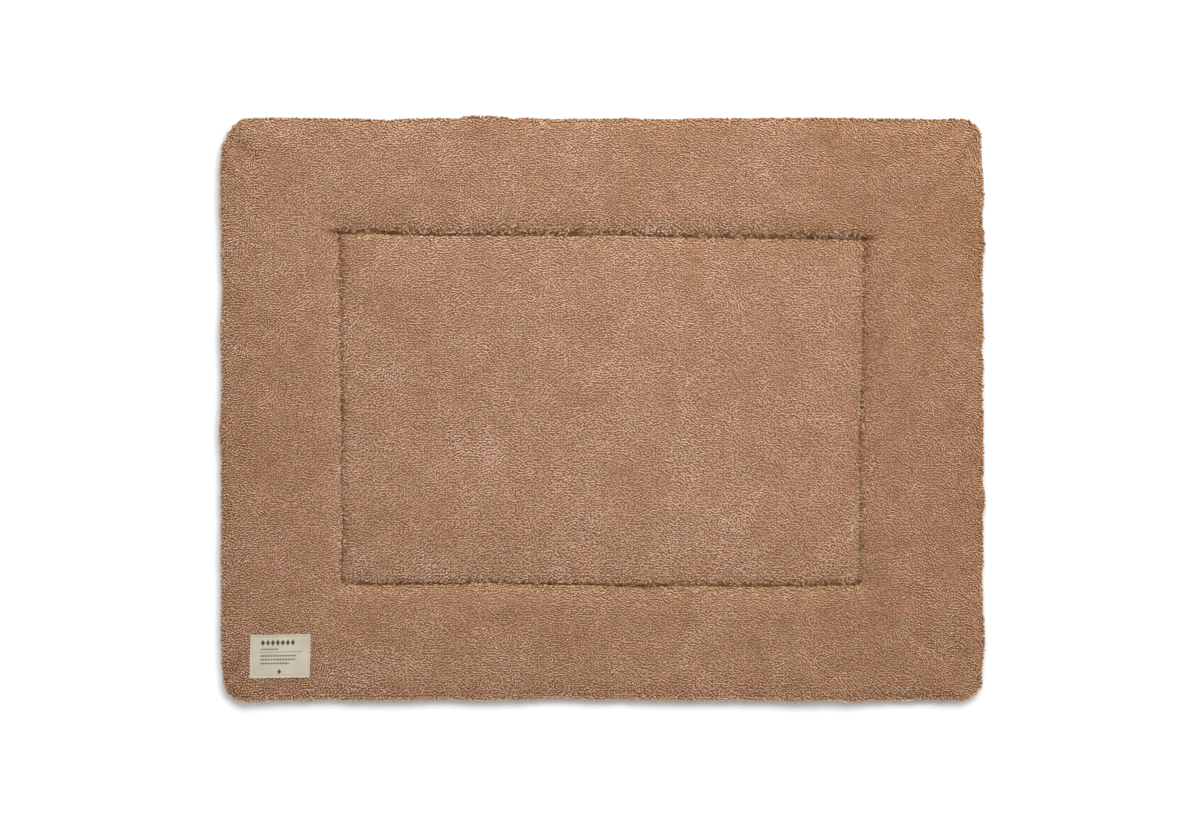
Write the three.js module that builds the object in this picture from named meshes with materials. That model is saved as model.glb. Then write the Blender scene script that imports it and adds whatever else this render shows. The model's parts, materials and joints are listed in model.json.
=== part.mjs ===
// A padded playpen mat. Two panels of curly pile cloth are sewn together round the rim over soft
// wadding, and stitched through along a rectangle, so that a puffy border frames a puffy centre.
// A small woven label is sewn on near one corner.
// Millimetres, +Z up. The mat lies on its back at Z = 0 with its long side along X, and the origin
// is in the middle of the underside. The surface is that of the pile's tips.
import * as THREE from 'three';
import { mergeVertices } from 'three/addons/utils/BufferGeometryUtils.js';

// The mat's nominal size, edge to edge, before the edges wander
const MAT_LENGTH = 948;
const MAT_WIDTH = 724;

// Heights of the pile's tips on the border, on the centre and down in the sewn line,
// and of the underside where the sewn line draws it up
const BORDER_CROWN = 25;
const CENTRE_CROWN = 23.5;
const SEWN_TOP = 10.5;
const SEWN_UNDER = 4;

// The cloth swells up from the sewn line, by about two thirds within this distance
const SWELL_REACH = 9.5;

// Cells along a long side and a short side, and how much they crowd towards the corners
const LONG_CELLS = 44;
const SHORT_CELLS = 34;
const CROWDING = 0.6;

// Every corner is a quarter ellipse with a size of its own each way
const CORNERS = {
  bottomLeft: { sizeX: 24, sizeY: 24 },
  bottomRight: { sizeX: 27, sizeY: 27 },
  topRight: { sizeX: 22, sizeY: 30 },
  topLeft: { sizeX: 31, sizeY: 47 },
};

// The corners of the rectangle that is stitched through all the layers
const SEWN_CORNERS = {
  bottomLeft: new THREE.Vector2(-323, -215),
  bottomRight: new THREE.Vector2(320, -216),
  topRight: new THREE.Vector2(327, 214),
  topLeft: new THREE.Vector2(-326, 222),
};

// The four sides, anticlockwise, each from its first corner to its last
const SIDES = [
  { name: 'bottom', first: 'bottomLeft', last: 'bottomRight', along: [1, 0], out: [0, -1] },
  { name: 'right', first: 'bottomRight', last: 'topRight', along: [0, 1], out: [1, 0] },
  { name: 'top', first: 'topRight', last: 'topLeft', along: [-1, 0], out: [0, 1] },
  { name: 'left', first: 'topLeft', last: 'bottomLeft', along: [0, -1], out: [-1, 0] },
];

// Soft waves of the edge: where they are along X or Y, how wide, and how far out they go
const EDGE_WAVES = [
  { side: 'bottom', at: -443, spread: 16, out: 3.3 },
  { side: 'bottom', at: -346, spread: 20, out: -1.5 },
  { side: 'bottom', at: -201, spread: 22, out: -2.0 },
  { side: 'bottom', at: -58, spread: 45, out: -2.4 },
  { side: 'bottom', at: 29, spread: 22, out: -1.6 },
  { side: 'bottom', at: 277, spread: 50, out: 2.3 },
  { side: 'right', at: -286, spread: 45, out: 1.2 },
  { side: 'right', at: -162, spread: 14, out: -1.4 },
  { side: 'right', at: -116, spread: 14, out: 2.0 },
  { side: 'right', at: 6, spread: 38, out: -1.3 },
  { side: 'right', at: 106, spread: 20, out: 1.6 },
  { side: 'right', at: 204, spread: 16, out: 2.0 },
  { side: 'right', at: 323, spread: 26, out: -3.6 },
  { side: 'top', at: 414, spread: 20, out: -1.2 },
  { side: 'top', at: 264, spread: 40, out: 0.8 },
  { side: 'top', at: 73, spread: 22, out: -1.8 },
  { side: 'top', at: -50, spread: 18, out: -1.2 },
  { side: 'top', at: -148, spread: 38, out: 3.6 },
  { side: 'top', at: -273, spread: 20, out: -2.2 },
  { side: 'top', at: -398, spread: 40, out: 1.0 },
  { side: 'left', at: 278, spread: 26, out: 3.6 },
  { side: 'left', at: 147, spread: 26, out: -1.7 },
  { side: 'left', at: 94, spread: 14, out: 2.0 },
  { side: 'left', at: 42, spread: 14, out: -1.3 },
  { side: 'left', at: -25, spread: 16, out: 2.7 },
  { side: 'left', at: -132, spread: 14, out: -1.4 },
  { side: 'left', at: -336, spread: 24, out: -1.8 },
];

// The sewn line wanders a little in the same way, but not within this share of its corners
const SEWN_CORNER_SHARE = 0.08;
const SEWN_WAVES = [
  { side: 'bottom', at: -140, spread: 30, out: -2.2 },
  { side: 'bottom', at: 46, spread: 34, out: 3.0 },
  { side: 'bottom', at: 180, spread: 60, out: 1.6 },
  { side: 'right', at: -40, spread: 46, out: -3.0 },
  { side: 'top', at: 20, spread: 45, out: 2.0 },
  { side: 'top', at: -200, spread: 50, out: -1.2 },
  { side: 'left', at: 0, spread: 50, out: -1.4 },
  { side: 'left', at: -134, spread: 22, out: -2.8 },
];

// The rim, from where the underside leaves the floor, out to the edge seam and up to the top
const EDGE_SEAM = 9;
const RIM_PROFILE = [
  { inset: 14, height: 0 },
  { inset: 6.5, height: 1.2 },
  { inset: 2, height: 4.2 },
  { inset: 0, height: EDGE_SEAM },
  { inset: 1, height: 13.5 },
  { inset: 4, height: 17.6 },
  { inset: 10, height: 21.2 },
];

// The rings of the border's top, at shares of the way from the outline to the sewn line, and how
// far the first of them is below the crown
const BORDER_PROFILE = [
  { share: 0.16, below: 1.2 },
  { share: 0.42, below: 0 },
  { share: 0.64, below: 0 },
  { share: 0.79, below: 0 },
  { share: 0.885, below: 0 },
  { share: 0.942, below: 0 },
  { share: 0.978, below: 0 },
  { share: 1, below: 0 },
];

// The groove under the sewn line: its inner side as distances, its outer side as border shares
const GROOVE_INSIDE = [
  { inset: 16, height: 0 },
  { inset: 7, height: 1.6 },
  { inset: 0, height: SEWN_UNDER },
];
const GROOVE_OUTSIDE = [
  { share: 0.95, height: 1.6 },
  { share: 0.89, height: 0 },
];

// Long soft ridges (rise over 0) and troughs (under 0) that the cloth lies in: their middle,
// half length, half width, and the turn of the long way from X in degrees
const SOFT_FOLDS = [
  { x: -150, y: -48, length: 120, width: 22, turn: 6, rise: -2.2 },
  { x: -250, y: -20, length: 60, width: 24, turn: -38, rise: -1.6 },
  { x: 205, y: -80, length: 130, width: 20, turn: 13, rise: -2.2 },
  { x: 20, y: -132, length: 80, width: 18, turn: 8, rise: 1.4 },
  { x: -10, y: -170, length: 60, width: 16, turn: 4, rise: -1.4 },
  { x: -200, y: 118, length: 80, width: 22, turn: 4, rise: -1.5 },
  { x: -40, y: 165, length: 90, width: 34, turn: -4, rise: 1.4 },
  { x: 215, y: 130, length: 80, width: 30, turn: 10, rise: 1.2 },
  { x: 190, y: 20, length: 90, width: 20, turn: 14, rise: 1.4 },
  { x: 410, y: 185, length: 90, width: 30, turn: -58, rise: -2.4 },
  { x: 395, y: 95, length: 80, width: 46, turn: 80, rise: 1.8 },
  { x: 325, y: 285, length: 70, width: 40, turn: 20, rise: 1.6 },
  { x: -405, y: -70, length: 60, width: 40, turn: 90, rise: -1.8 },
  { x: -150, y: 290, length: 110, width: 40, turn: 0, rise: 1.2 },
  { x: 120, y: -292, length: 140, width: 36, turn: 0, rise: -1.2 },
];

// The label: a folded cotton patch that lies on the pile's tips, a little crooked
const LABEL_LENGTH = 75;
const LABEL_WIDTH = 54;
const LABEL_THICK = 1.2;
const LABEL_GAP = 0.5;
const LABEL_MIDDLE = new THREE.Vector2(-400, -306);
const LABEL_TURN = 1;
const LABEL_LONG_CELLS = 8;
const LABEL_SHORT_CELLS = 6;

// What the waves of a table add at one place along a side
function waveOut(waves, side, at) {
  const here = waves.filter((wave) => wave.side === side.name);
  return here.reduce((sum, wave) => sum + wave.out * Math.exp(-(((at - wave.at) / wave.spread) ** 2)), 0);
}

// Shares of a side's length from 0 to 1, closer together near the corners
function sideShares(cells) {
  return Array.from({ length: cells + 1 }, (_, i) => {
    const even = i / cells;
    const crowded = (1 - Math.cos(Math.PI * even)) / 2;
    return THREE.MathUtils.lerp(even, crowded, CROWDING);
  });
}

// A side's half length, its distance from the middle, and its corners' sizes along it and across
function sideSizes(side) {
  const isLong = side.along[0] !== 0;
  const cornerSizes = ({ sizeX, sizeY }) => ({
    run: isLong ? sizeX : sizeY,
    deep: isLong ? sizeY : sizeX,
  });
  return {
    cells: isLong ? LONG_CELLS : SHORT_CELLS,
    half: (isLong ? MAT_LENGTH : MAT_WIDTH) / 2,
    reach: (isLong ? MAT_WIDTH : MAT_LENGTH) / 2,
    first: cornerSizes(CORNERS[side.first]),
    last: cornerSizes(CORNERS[side.last]),
  };
}

// How far a corner's ellipse draws the outline in, at a distance from the side's end
function cornerDraw(distance, { run, deep }) {
  if (distance >= run) return 0;
  return deep * (1 - Math.sqrt(1 - ((run - distance) / run) ** 2));
}

// The outline, anticlockwise. Each side goes from the middle of one corner to that of the next.
function outlineRing() {
  const cornerMiddle = 1 - Math.SQRT1_2;
  return SIDES.flatMap((side) => {
    const { cells, half, reach, first, last } = sideSizes(side);
    const start = -half + first.run * cornerMiddle;
    const end = half - last.run * cornerMiddle;
    return sideShares(cells).slice(0, -1).map((share) => {
      const run = THREE.MathUtils.lerp(start, end, share);
      const at = run * (side.along[0] + side.along[1]);
      const drawn = cornerDraw(half + run, first) + cornerDraw(half - run, last);
      const far = reach - drawn + waveOut(EDGE_WAVES, side, at);
      const along = new THREE.Vector2(...side.along).multiplyScalar(run);
      return along.add(new THREE.Vector2(...side.out).multiplyScalar(far));
    });
  });
}

// The sewn line, with one point for each point of the outline
function sewnRing() {
  return SIDES.flatMap((side) => {
    const { cells } = sideSizes(side);
    return sideShares(cells).slice(0, -1).map((share) => {
      const point = SEWN_CORNERS[side.first].clone().lerp(SEWN_CORNERS[side.last], share);
      const at = side.along[0] ? point.x : point.y;
      const fromCorner = Math.min(share, 1 - share) / SEWN_CORNER_SHARE;
      const out = waveOut(SEWN_WAVES, side, at) * Math.min(fromCorner, 1);
      return point.add(new THREE.Vector2(...side.out).multiplyScalar(out));
    });
  });
}

// A ring moved inwards, square to its own run
function insetRing(ring, inset) {
  return ring.map((point, i) => {
    const before = ring[(i + ring.length - 1) % ring.length];
    const after = ring[(i + 1) % ring.length];
    const run = after.clone().sub(before).normalize();
    return new THREE.Vector2(point.x - run.y * inset, point.y + run.x * inset);
  });
}

// A ring part of the way from one ring to another
function ringBetween(from, to, share) {
  return from.map((point, i) => point.clone().lerp(to[i], share));
}

// How much the soft folds lift or sink the cloth at a place
function foldRise(x, y) {
  return SOFT_FOLDS.reduce((sum, fold) => {
    const turn = THREE.MathUtils.degToRad(fold.turn);
    const place = new THREE.Vector2(x - fold.x, y - fold.y).rotateAround(new THREE.Vector2(), -turn);
    return sum + fold.rise * Math.exp(-((place.x / fold.length) ** 2) - (place.y / fold.width) ** 2);
  }, 0);
}

// The share of its full swell that the cloth has at a distance from the sewn line
function swellShare(distance) {
  return 1 - Math.exp(-Math.max(distance, 0) / SWELL_REACH);
}

// The top's height, where it has a share of the swell from the sewn line to the crown
function topHeight(x, y, crown, swell) {
  return SEWN_TOP + (crown - SEWN_TOP + foldRise(x, y)) * swell;
}

// A rim ring's height. Above the edge seam the soft folds reach it too.
function rimHeight(x, y, height) {
  const share = Math.max(height - EDGE_SEAM, 0) / (BORDER_CROWN - EDGE_SEAM);
  return height + foldRise(x, y) * share;
}

// The triangles of the strip between two rings of as many points
function addStrip(triangles, lower, upper) {
  lower.forEach((point, i) => {
    const next = (i + 1) % lower.length;
    triangles.push(point, lower[next], upper[next], point, upper[next], upper[i]);
  });
}

// The two triangles of each cell of a grid, wound to face up
function addGrid(triangles, grid) {
  for (let row = 1; row < grid.length; row++) {
    for (let column = 1; column < grid[row].length; column++) {
      const [a, b] = [grid[row - 1][column - 1], grid[row - 1][column]];
      const [d, c] = [grid[row][column - 1], grid[row][column]];
      triangles.push(a, b, c, a, c, d);
    }
  }
}

// The centre's top: a grid whose rim is the sewn line, swelling up from it on all four sides
function addCentreTop(triangles, sewn) {
  const corner = LONG_CELLS + SHORT_CELLS;
  const bottom = sewn.slice(0, LONG_CELLS + 1);
  const right = sewn.slice(LONG_CELLS, corner + 1);
  const top = sewn.slice(corner, corner + LONG_CELLS + 1).reverse();
  const left = [...sewn.slice(corner + LONG_CELLS), sewn[0]].reverse();
  addGrid(triangles, sideShares(SHORT_CELLS).map((v, row) => sideShares(LONG_CELLS).map((u, column) => {
    const between = bottom[column].clone().lerp(top[column], v);
    const across = left[row].clone().lerp(right[row], u);
    const lower = bottom[0].clone().lerp(bottom[LONG_CELLS], u);
    const upper = top[0].clone().lerp(top[LONG_CELLS], u);
    const { x, y } = between.add(across).sub(lower.lerp(upper, v));
    const fromSides = Math.min(x - left[row].x, right[row].x - x);
    const fromEnds = Math.min(y - bottom[column].y, top[column].y - y);
    const height = topHeight(x, y, CENTRE_CROWN, swellShare(fromSides) * swellShare(fromEnds));
    return new THREE.Vector3(x, y, height);
  })));
}

// The flat middle of the underside, facing down: a fan of triangles round its middle
function addFlatUnderside(triangles, ring) {
  ring.forEach((point, i) => triangles.push(new THREE.Vector3(), ring[(i + 1) % ring.length], point));
}

// A closed geometry from a list of triangle corners
function closedGeometry(triangles) {
  const geometry = mergeVertices(new THREE.BufferGeometry().setFromPoints(triangles), 1e-3);
  geometry.computeVertexNormals();
  return geometry;
}

// The whole mat as one filled solid, from the middle of the underside out round the rim, over the
// border and down to the sewn line, and then the centre
function matGeometry() {
  const outline = outlineRing();
  const sewn = sewnRing();
  const insideSewn = (inset) => sewn.map(({ x, y }) => new THREE.Vector2(
    x * (1 + inset / SEWN_CORNERS.bottomLeft.x),
    y * (1 + inset / SEWN_CORNERS.bottomLeft.y),
  ));
  const level = (ring, height) => ring.map(({ x, y }) => new THREE.Vector3(x, y, height));
  const borderTop = ({ share, below }) => ringBetween(outline, sewn, share).map(({ x, y }, i) => {
    const distance = Math.max(Math.abs(sewn[i].x - x), Math.abs(sewn[i].y - y));
    return new THREE.Vector3(x, y, topHeight(x, y, BORDER_CROWN - below, swellShare(distance)));
  });

  const rings = [
    ...GROOVE_INSIDE.map(({ inset, height }) => level(insideSewn(inset), height)),
    ...GROOVE_OUTSIDE.map(({ share, height }) => level(ringBetween(outline, sewn, share), height)),
    ...RIM_PROFILE.map(({ inset, height }) => insetRing(outline, inset).map(
      ({ x, y }) => new THREE.Vector3(x, y, rimHeight(x, y, height)),
    )),
    ...BORDER_PROFILE.map(borderTop),
  ];
  const triangles = [];
  addFlatUnderside(triangles, level(insideSewn(GROOVE_INSIDE[0].inset), 0));
  for (let i = 1; i < rings.length; i++) addStrip(triangles, rings[i - 1], rings[i]);
  addCentreTop(triangles, rings.at(-1).map(({ x, y }) => new THREE.Vector2(x, y)));
  return closedGeometry(triangles);
}

// The label follows the mat's top: every point of it is set down on the mat from above
function labelGeometry(mat) {
  const ray = new THREE.Raycaster();
  const down = new THREE.Vector3(0, 0, -1);
  const turn = THREE.MathUtils.degToRad(LABEL_TURN);
  const matTop = (x, y) => {
    ray.set(new THREE.Vector3(x, y, 2 * BORDER_CROWN), down);
    return ray.intersectObject(mat)[0].point.z;
  };
  const layer = (lift) => Array.from({ length: LABEL_SHORT_CELLS + 1 }, (_, row) => (
    Array.from({ length: LABEL_LONG_CELLS + 1 }, (__, column) => {
      const x = (column / LABEL_LONG_CELLS - 0.5) * LABEL_LENGTH;
      const y = (row / LABEL_SHORT_CELLS - 0.5) * LABEL_WIDTH;
      const place = new THREE.Vector2(x, y).rotateAround(new THREE.Vector2(), turn).add(LABEL_MIDDLE);
      return new THREE.Vector3(place.x, place.y, matTop(place.x, place.y) + lift);
    })
  ));
  const rimOf = (grid) => [
    ...grid[0],
    ...grid.slice(1, -1).map((line) => line.at(-1)),
    ...grid.at(-1).toReversed(),
    ...grid.slice(1, -1).map((line) => line[0]).reverse(),
  ];
  const under = layer(LABEL_GAP);
  const top = layer(LABEL_GAP + LABEL_THICK);
  const triangles = [];
  addGrid(triangles, top);
  addGrid(triangles, under.map((line) => line.toReversed()));
  addStrip(triangles, rimOf(under), rimOf(top));
  return closedGeometry(triangles);
}

const pileCloth = new THREE.MeshStandardMaterial({ color: 0xa98266, roughness: 1, metalness: 0 });
const labelCotton = new THREE.MeshStandardMaterial({ color: 0xd8cbb4, roughness: 0.9, metalness: 0 });

const paddedMat = new THREE.Mesh(matGeometry(), pileCloth);
paddedMat.name = 'padded_mat';

const sewnLabel = new THREE.Mesh(labelGeometry(paddedMat), labelCotton);
sewnLabel.name = 'sewn_label';

// The origin goes to the middle of the box round the mat, whose edges wander unevenly
const playpenMat = new THREE.Group();
playpenMat.name = 'playpen_mat';
playpenMat.add(paddedMat, sewnLabel);
const middle = new THREE.Box3().setFromObject(paddedMat).getCenter(new THREE.Vector3());
for (const piece of playpenMat.children) piece.position.set(-middle.x, -middle.y, 0);

export default playpenMat;
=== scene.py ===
import json
import math

import bmesh
import bpy
import numpy as np
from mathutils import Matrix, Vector, noise

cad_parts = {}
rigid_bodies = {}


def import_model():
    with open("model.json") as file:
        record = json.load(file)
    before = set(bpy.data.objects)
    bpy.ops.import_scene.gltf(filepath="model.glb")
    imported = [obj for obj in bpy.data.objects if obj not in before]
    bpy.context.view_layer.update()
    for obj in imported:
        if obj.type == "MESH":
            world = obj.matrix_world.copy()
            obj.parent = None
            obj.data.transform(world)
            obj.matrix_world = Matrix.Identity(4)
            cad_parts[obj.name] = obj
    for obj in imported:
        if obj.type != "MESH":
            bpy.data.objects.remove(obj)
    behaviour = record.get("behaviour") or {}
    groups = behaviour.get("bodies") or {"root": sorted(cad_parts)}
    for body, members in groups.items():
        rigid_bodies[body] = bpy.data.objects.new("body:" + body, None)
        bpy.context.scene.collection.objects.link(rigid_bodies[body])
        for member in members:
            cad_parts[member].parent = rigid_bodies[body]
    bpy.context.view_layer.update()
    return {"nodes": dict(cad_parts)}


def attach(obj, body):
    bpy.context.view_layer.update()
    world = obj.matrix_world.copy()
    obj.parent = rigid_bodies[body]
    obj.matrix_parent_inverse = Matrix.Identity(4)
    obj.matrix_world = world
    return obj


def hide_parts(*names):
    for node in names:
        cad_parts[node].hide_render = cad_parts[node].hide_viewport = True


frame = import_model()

# The camera looks straight down on the mat from well above it, as for a catalogue picture, with
# the mat's middle a little right of and above the picture's middle.
PICTURE_WIDE = 1.492
PICTURE_MIDDLE = (-0.0019, -0.0070)
MAT_TOP = 0.020
LENS_MM = 100.0
FILM_MM = 36.0
camera_height = MAT_TOP + PICTURE_WIDE * LENS_MM / FILM_MM
bpy.ops.object.camera_add(location=(*PICTURE_MIDDLE, camera_height), rotation=(0, 0, 0))
camera = bpy.context.object
camera.data.lens = LENS_MM
camera.data.sensor_width = FILM_MM
camera.data.dof.use_dof = False
bpy.context.scene.camera = camera

# The padded body: a top and a back panel of pile cloth, sewn together round the rim over one layer
# of soft wadding, and stitched through along a rectangle that leaves a puffy border and centre.
# The panels are drawn in by the depth of the pile, which stands on them as its own pieces.
PILE_DEPTH = 0.0022
TRIM = (0.9990, 0.9977, 1)
TRIM_FROM = (0.477, 0.150, 0)
# a slope is the upward part of a normal, from 1 where the cloth is level to -1 underneath
PILE_SLOPE_FROM = 0.6
SEWN_HEIGHT = 0.0105
SEAM_SHIFT = (-0.0007, -0.0016)
SEAM_STRETCH = 1.0026
GROOVE_REACH = 0.03
CHANNEL_REACH = 0.003
FILLED_HEIGHT = 0.0125
BODY_VOXEL = 0.0070

SWELL_ROOM = 0.0036
SWELL_ROOM_FADE = 0.006
SWELL_LIMIT = 0.003
SWELL_PRESSURE = 1.2
SWELL_FRAMES = 20
HELD_REACH = 0.006
HELD_BELOW = 0.002

CLEFT_REACH = 0.0046
CLEFT_SHARPNESS = 1.3
CLEFT_BOTTOM = 0.0046
CLEFT_SLOPE_FROM = 0.2
CLEFT_FINE_REACH = 0.011
SIDE_RUNS_TO = 0.215
SIDE_RUNS_FADE = 0.02
SIDE_SLACK = 0.0012
PUCKERS = {"length": 0.017, "rise": 0.0011, "seed": 3.0}
PUCKER_REACH = 0.014
PANEL_WAVES = {"length": 0.034, "rise": 0.0007, "seed": 5.0}
CREASE_REACH = 0.006
THREAD_REACH = 0.001
CREASES = (
    # from x, y to x, y in metres, and how deep: the sewn line's faint runs past its top corners
    {"from": (-0.326, 0.222), "to": (-0.354, 0.2235), "deep": 0.0022},
    {"from": (0.327, 0.214), "to": (0.347, 0.2125), "deep": 0.0018},
)

# The root colour is painted shade: down among the curls, between the panel's worms and in the cleft.
# The pinkish and olive tips are the yarn's own colours.
ROOT_SHADE_COLOUR = (0.385, 0.167, 0.091, 1)
TIP_PINK = (0.705, 0.472, 0.320, 1)
TIP_OLIVE = (0.658, 0.505, 0.315, 1)
# The gap colours are painted shade on the panels where the curls cover them.
GAP_SHADE_DARK = (0.250, 0.117, 0.065, 1)
GAP_SHADE_LIGHT = (0.365, 0.186, 0.108, 1)
SHEEN_COLOUR = (0.75, 0.45, 0.28, 1)
SHEEN_ROUGHNESS = 0.6
BARE_SLOPE = -0.25
BARE_SLOPE_FADE = 0.5
BARE_BELOW = 0.004
BARE_BELOW_FADE = 0.002


def sewn_ring(cad_node):
    """The stitched rectangle, as points in order round it, from the vertices at its height."""
    points = {
        (round(v.co.x, 6), round(v.co.y, 6))
        for v in cad_node.data.vertices
        if abs(v.co.z - SEWN_HEIGHT) < 1e-6
    }
    return np.array(sorted(points, key=lambda p: math.atan2(p[1], p[0])))


def gap_to_line(places, line):
    """How far each place is from a line of points, and how far along the line its nearest point is."""
    starts = line[:-1]
    runs = line[1:] - starts
    lengths = np.linalg.norm(runs, axis=1)
    before = np.concatenate([[0], np.cumsum(lengths)[:-1]])
    best = np.full(len(places), np.inf)
    along = np.zeros(len(places))
    for start, run, length, passed in zip(starts, runs, lengths, before):
        share = np.clip(((places - start) @ run) / length**2, 0, 1)
        gap = np.linalg.norm(places - start - share[:, None] * run, axis=1)
        nearer = gap < best
        best[nearer] = gap[nearer]
        along[nearer] = passed + share[nearer] * length
    return best, along


def crease_strength(places, crease, reach):
    """How strongly a crease shows at each place: less along it, and within reach to its sides."""
    path = np.array([crease["from"], crease["to"]])
    gap, along = gap_to_line(places[:, :2], path)
    fade = 1 - along / np.linalg.norm(path[1] - path[0])
    return fade * np.exp(-((gap / reach) ** 2))


def on_side_runs(places):
    """1 along the left and right runs of the stitching, fading to 0 at its top and bottom runs."""
    return np.clip((SIDE_RUNS_TO - np.abs(places[:, 1])) / SIDE_RUNS_FADE, 0, 1)


def ramp(values, start, length):
    """0 up to the start, then rising to 1 over that length."""
    return np.clip((values - start) / length, 0, 1)


def uneven(places, length, rise, seed):
    """A soft random wave over the places, up and down by about that rise, with humps that long."""
    noise_to_one = 1.6
    spots = np.asarray(places) / length
    wave = [noise_to_one * noise.noise(Vector((x, y, seed))) for x, y in spots[:, :2]]
    return rise * np.array(wave)


def vectors_in(items, name):
    """The vectors of that name of all these vertices or attribute values, a row for each."""
    flat = np.empty(len(items) * 3)
    items.foreach_get(name, flat)
    return flat.reshape(-1, 3)


def places_of(mesh):
    return vectors_in(mesh.vertices, "co")


def normals_of(mesh):
    return vectors_in(mesh.vertices, "normal")


def move_to(mesh, places):
    mesh.vertices.foreach_set("co", np.asarray(places).ravel())
    mesh.update()


def pick_alone(piece):
    bpy.ops.object.select_all(action="DESELECT")
    piece.select_set(True)
    bpy.context.view_layer.objects.active = piece


def select_parts(cage, parts, wanted):
    """Selects, in edit mode, those of the cage's faces or vertices for which wanted is true."""
    for part in parts:
        part.select_set(bool(wanted(part)))
    cage.select_flush_mode()


def select_faces(piece, wanted):
    cage = bmesh.from_edit_mesh(piece.data)
    select_parts(cage, cage.faces, wanted)
    bmesh.update_edit_mesh(piece.data)


def own_copy(piece, name):
    """A copy of the piece with its own mesh."""
    made = bpy.data.objects.new(name, piece.data.copy())
    bpy.context.scene.collection.objects.link(made)
    return made


def apply_modifier(piece, kind, **settings):
    """Adds a modifier of that kind to the piece, which is the picked one, and applies it."""
    bpy.ops.object.modifier_add(type=kind)
    modifier = piece.modifiers[-1]
    for name, value in settings.items():
        setattr(modifier, name, value)
    bpy.ops.object.modifier_apply(modifier=modifier.name)


cad_mat = frame["nodes"]["padded_mat"]
ring = sewn_ring(cad_mat)
sewn_line = np.vstack([ring, ring[:1]]) * SEAM_STRETCH + SEAM_SHIFT

body = own_copy(cad_mat, "mat_body")
body.data.materials.clear()
pick_alone(body)
bpy.ops.object.mode_set(mode="EDIT")
bpy.ops.mesh.select_all(action="SELECT")
bpy.ops.mesh.remove_doubles(threshold=1e-5)
select_faces(body, lambda face: face.normal.z > PILE_SLOPE_FROM)
bpy.ops.transform.shrink_fatten(value=-PILE_DEPTH)
bpy.ops.mesh.select_all(action="SELECT")
bpy.ops.transform.resize(value=TRIM, center_override=TRIM_FROM)
bpy.ops.object.mode_set(mode="OBJECT")

# The wadding is whole before it is stitched, so the channel is filled for the remesh: underneath it
# lies flat, and on top it is raised to more than a voxel above that.
places = places_of(body.data)
facing_up = normals_of(body.data)[:, 2]
gap = gap_to_line(places[:, :2], sewn_line)[0]
places[(facing_up < 0) & (gap < GROOVE_REACH), 2] = 0
places[(facing_up > 0) & (gap < CHANNEL_REACH), 2] = FILLED_HEIGHT
places[:, 2] -= SWELL_ROOM * ramp(places[:, 2], FILLED_HEIGHT, SWELL_ROOM_FADE)
move_to(body.data, places)
panels = own_copy(body, "panels")
apply_modifier(body, "REMESH", mode="VOXEL", voxel_size=BODY_VOXEL)
apply_modifier(body, "SHRINKWRAP", target=panels)
bpy.data.objects.remove(panels)

# The wadding pushes the panels out between the seams, which hold them.
start = places_of(body.data)
held = (gap_to_line(start[:, :2], sewn_line)[0] < HELD_REACH) | (start[:, 2] < HELD_BELOW)
pins = body.vertex_groups.new(name="seams")
pins.add(np.flatnonzero(held).tolist(), 1.0, "REPLACE")
bpy.ops.object.modifier_add(type="CLOTH")
cloth = body.modifiers[-1]
cloth.settings.use_pressure = True
cloth.settings.uniform_pressure_force = SWELL_PRESSURE
cloth.settings.vertex_group_mass = pins.name
cloth.settings.effector_weights.gravity = 0
for step in range(1, SWELL_FRAMES + 1):
    bpy.context.scene.frame_set(step)
swollen = places_of(body.evaluated_get(bpy.context.evaluated_depsgraph_get()).data)
bpy.ops.object.modifier_apply(modifier=cloth.name)
bpy.context.scene.frame_set(1)
moved = swollen - start
moved[:, :2] = 0
far = np.linalg.norm(moved, axis=1)
moved *= np.minimum(1, SWELL_LIMIT / np.maximum(far, 1e-9))[:, None]
move_to(body.data, start + moved)
body.vertex_groups.clear()

# Stitching draws the panels down into a cleft along the line, with small uneven puckers beside it,
# and the cleft needs finer faces than the rest of the body.
near = gap_to_line(places_of(body.data)[:, :2], sewn_line)[0] < CLEFT_FINE_REACH
pick_alone(body)
bpy.ops.object.mode_set(mode="EDIT")
select_faces(
    body,
    lambda face: face.normal.z > CLEFT_SLOPE_FROM and all(near[v.index] for v in face.verts),
)
bpy.ops.mesh.subdivide(number_cuts=1, smoothness=0.6)
bpy.ops.object.mode_set(mode="OBJECT")

places = places_of(body.data)
upward = np.clip(normals_of(body.data)[:, 2], 0, 1)
gap, along = gap_to_line(places[:, :2], sewn_line)
round_trip = np.linalg.norm(np.diff(sewn_line, axis=0), axis=1).sum()
turn = 2 * math.pi * along / round_trip
lap = np.stack([np.cos(turn), np.sin(turn)], axis=1) * round_trip / (2 * math.pi)
cleft = np.exp(-((gap / CLEFT_REACH) ** CLEFT_SHARPNESS))
fall = (places[:, 2] - CLEFT_BOTTOM - SIDE_SLACK * on_side_runs(places)) * cleft
lift = uneven(lap, **PUCKERS) * (np.exp(-gap / PUCKER_REACH) * (1 - cleft))
lift += uneven(places, **PANEL_WAVES) * (1 - cleft)
for crease in CREASES:
    dent = crease["deep"] * crease_strength(places, crease, CREASE_REACH)
    lift -= dent * (gap > THREAD_REACH)
places[:, 2] += upward * (lift - fall)
move_to(body.data, places)
bpy.ops.object.shade_smooth()
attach(body, "root")
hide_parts("padded_mat")


def add_node(tree, kind, inputs=(), **settings):
    """One node of that kind. An input is a number, a colour or another node's output."""
    made = tree.nodes.new(kind)
    for name, value in settings.items():
        setattr(made, name, value)
    for name, value in dict(inputs).items():
        if isinstance(value, bpy.types.NodeSocket):
            tree.links.new(value, made.inputs[name])
        else:
            made.inputs[name].default_value = value
    return made


def maths(tree, operation, *values):
    """One Math node on these numbers or outputs of other nodes."""
    return add_node(tree, "ShaderNodeMath", dict(enumerate(values)), operation=operation).outputs[0]


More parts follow.
